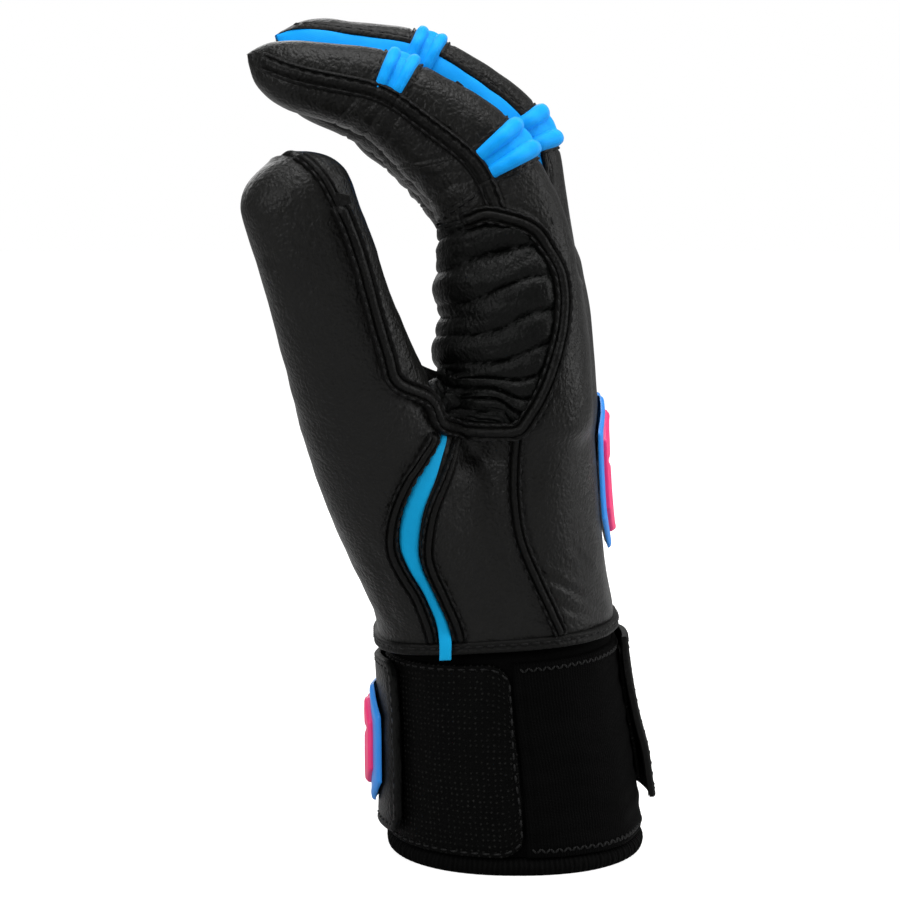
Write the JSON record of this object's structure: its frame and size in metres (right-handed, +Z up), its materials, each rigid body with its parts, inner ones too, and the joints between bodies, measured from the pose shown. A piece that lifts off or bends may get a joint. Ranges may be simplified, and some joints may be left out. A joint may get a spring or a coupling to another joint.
{
  "type": "batting glove",
  "caption": "Right-hand leather batting glove on a long elastic cuff, with stretch flex knuckles, a gathered thumb web, wrist straps and moulded badges.",
  "frame": {"origin": "middle of the underside of the bounding box; the rolled cuff binding stands on z = 0", "axes": "+Z up the hand from the cuff to the fingers, +X out of the back of the hand, -Y the thumb side, +Y the little-finger side"},
  "size_m": [0.0992, 0.1124, 0.2058],
  "materials": {
    "leather": "soft grained leather with a slight sheen",
    "strip_leather": "turned and stitched leather strip",
    "flex_fabric": "matte stretch fabric, bright blue",
    "neoprene": "matte knit-faced foam",
    "elastic": "matte woven elastic",
    "hook_loop": "rough hook-and-loop pile",
    "binding_tape": "rolled binding tape",
    "badge_blue": "satin moulded rubber, blue",
    "badge_pink": "satin moulded rubber, pink"
  },
  "bodies": {
    "hand": {"back_panel": "leather", "palm_panel": "leather", "thumb_panel": "leather", "thumb_back": "leather", "web_gusset": "leather", "side_panel": "leather", "flex_insert": "flex_fabric", "welt_front": "strip_leather", "welt_middle": "strip_leather", "welt_back": "strip_leather", "gusset_edge": "strip_leather", "thumb_seam": "strip_leather", "hem_band": "strip_leather", "index_middle_fourchette": "flex_fabric", "middle_ring_fourchette": "flex_fabric", "ring_little_fourchette": "flex_fabric", "cuff_sleeve": "neoprene", "cuff_binding": "binding_tape", "hook_patch": "hook_loop", "elastic_wrap": "elastic", "hand_badge_base": "badge_blue", "hand_badge_inlay": "badge_pink"},
    "palm_strap": {"palm_strap": "elastic", "palm_strap_pad": "hook_loop", "wrist_badge_base": "badge_blue", "wrist_badge_inlay": "badge_pink"},
    "back_strap": {"back_strap": "elastic", "back_strap_pad": "hook_loop"},
    "index_middle": {"index_back_middle": "leather", "index_front_middle": "leather", "index_knuckle_flex": "flex_fabric", "index_knuckle_fold": "leather"},
    "index_tip": {"index_back_tip": "leather", "index_front_tip": "leather", "index_joint_flex": "flex_fabric", "index_joint_fold": "leather"},
    "middle_middle": {"middle_back_middle": "leather", "middle_front_middle": "leather", "middle_knuckle_flex": "flex_fabric", "middle_knuckle_fold": "leather"},
    "middle_tip": {"middle_back_tip": "leather", "middle_front_tip": "leather", "middle_joint_flex": "flex_fabric", "middle_joint_fold": "leather"},
    "ring_middle": {"ring_back_middle": "leather", "ring_front_middle": "leather", "ring_knuckle_flex": "flex_fabric", "ring_knuckle_fold": "leather"},
    "ring_tip": {"ring_back_tip": "leather", "ring_front_tip": "leather", "ring_joint_flex": "flex_fabric", "ring_joint_fold": "leather"},
    "little_middle": {"little_back_middle": "leather", "little_front_middle": "leather", "little_knuckle_flex": "flex_fabric", "little_knuckle_fold": "leather"},
    "little_tip": {"little_back_tip": "leather", "little_front_tip": "leather", "little_joint_flex": "flex_fabric", "little_joint_fold": "leather"}
  },
  "joints": [
    {"name": "index_knuckle", "type": "hinge", "parent": "hand", "child": "index_middle", "pos_m": [0.00439, -0.01799, 0.16951], "axis": [0, -1, 0], "range_deg": [-30, 45], "deforming": ["index_knuckle_flex", "index_knuckle_fold"]},
    {"name": "index_joint", "type": "hinge", "parent": "index_middle", "child": "index_tip", "pos_m": [-0.01713, -0.01799, 0.1864], "axis": [0, -1, 0], "range_deg": [-18, 27], "deforming": ["index_joint_flex", "index_joint_fold"]},
    {"name": "middle_knuckle", "type": "hinge", "parent": "hand", "child": "middle_middle", "pos_m": [0.01029, 0.00271, 0.17456], "axis": [0, -1, 0], "range_deg": [-30, 45], "deforming": ["middle_knuckle_flex", "middle_knuckle_fold"]},
    {"name": "middle_joint", "type": "hinge", "parent": "middle_middle", "child": "middle_tip", "pos_m": [-0.01099, 0.00271, 0.19239], "axis": [0, -1, 0], "range_deg": [-18, 27], "deforming": ["middle_joint_flex", "middle_joint_fold"]},
    {"name": "ring_knuckle", "type": "hinge", "parent": "hand", "child": "ring_middle", "pos_m": [0.00472, 0.02341, 0.16615], "axis": [0, -1, 0], "range_deg": [-30, 45], "deforming": ["ring_knuckle_flex", "ring_knuckle_fold"]},
    {"name": "ring_joint", "type": "hinge", "parent": "ring_middle", "child": "ring_tip", "pos_m": [-0.01611, 0.02341, 0.18315], "axis": [0, -1, 0], "range_deg": [-18, 27], "deforming": ["ring_joint_flex", "ring_joint_fold"]},
    {"name": "little_knuckle", "type": "hinge", "parent": "hand", "child": "little_middle", "pos_m": [0.00657, 0.04411, 0.15694], "axis": [0, -1, 0], "range_deg": [-30, 45], "deforming": ["little_knuckle_flex", "little_knuckle_fold"]},
    {"name": "little_joint", "type": "hinge", "parent": "little_middle", "child": "little_tip", "pos_m": [-0.0068, 0.04411, 0.17171], "axis": [0, -1, 0], "range_deg": [-18, 27], "deforming": ["little_joint_flex", "little_joint_fold"]},
    {"name": "palm_strap_hinge", "type": "hinge", "parent": "hand", "child": "palm_strap", "pos_m": [0.00192, 0.0442, 0.02891], "axis": [0.0558, 0.0216, -0.9982], "range_deg": [0, 100]},
    {"name": "back_strap_hinge", "type": "hinge", "parent": "hand", "child": "back_strap", "pos_m": [0.01791, 0.04657, 0.03286], "axis": [-0.094, -0.0246, 0.9953], "range_deg": [0, 100]}
  ],
  "couplings": [
    {"joint": "index_joint", "follows": "index_knuckle", "ratio": 0.6},
    {"joint": "middle_joint", "follows": "middle_knuckle", "ratio": 0.6},
    {"joint": "ring_joint", "follows": "ring_knuckle", "ratio": 0.6},
    {"joint": "little_joint", "follows": "little_knuckle", "ratio": 0.6}
  ]
}
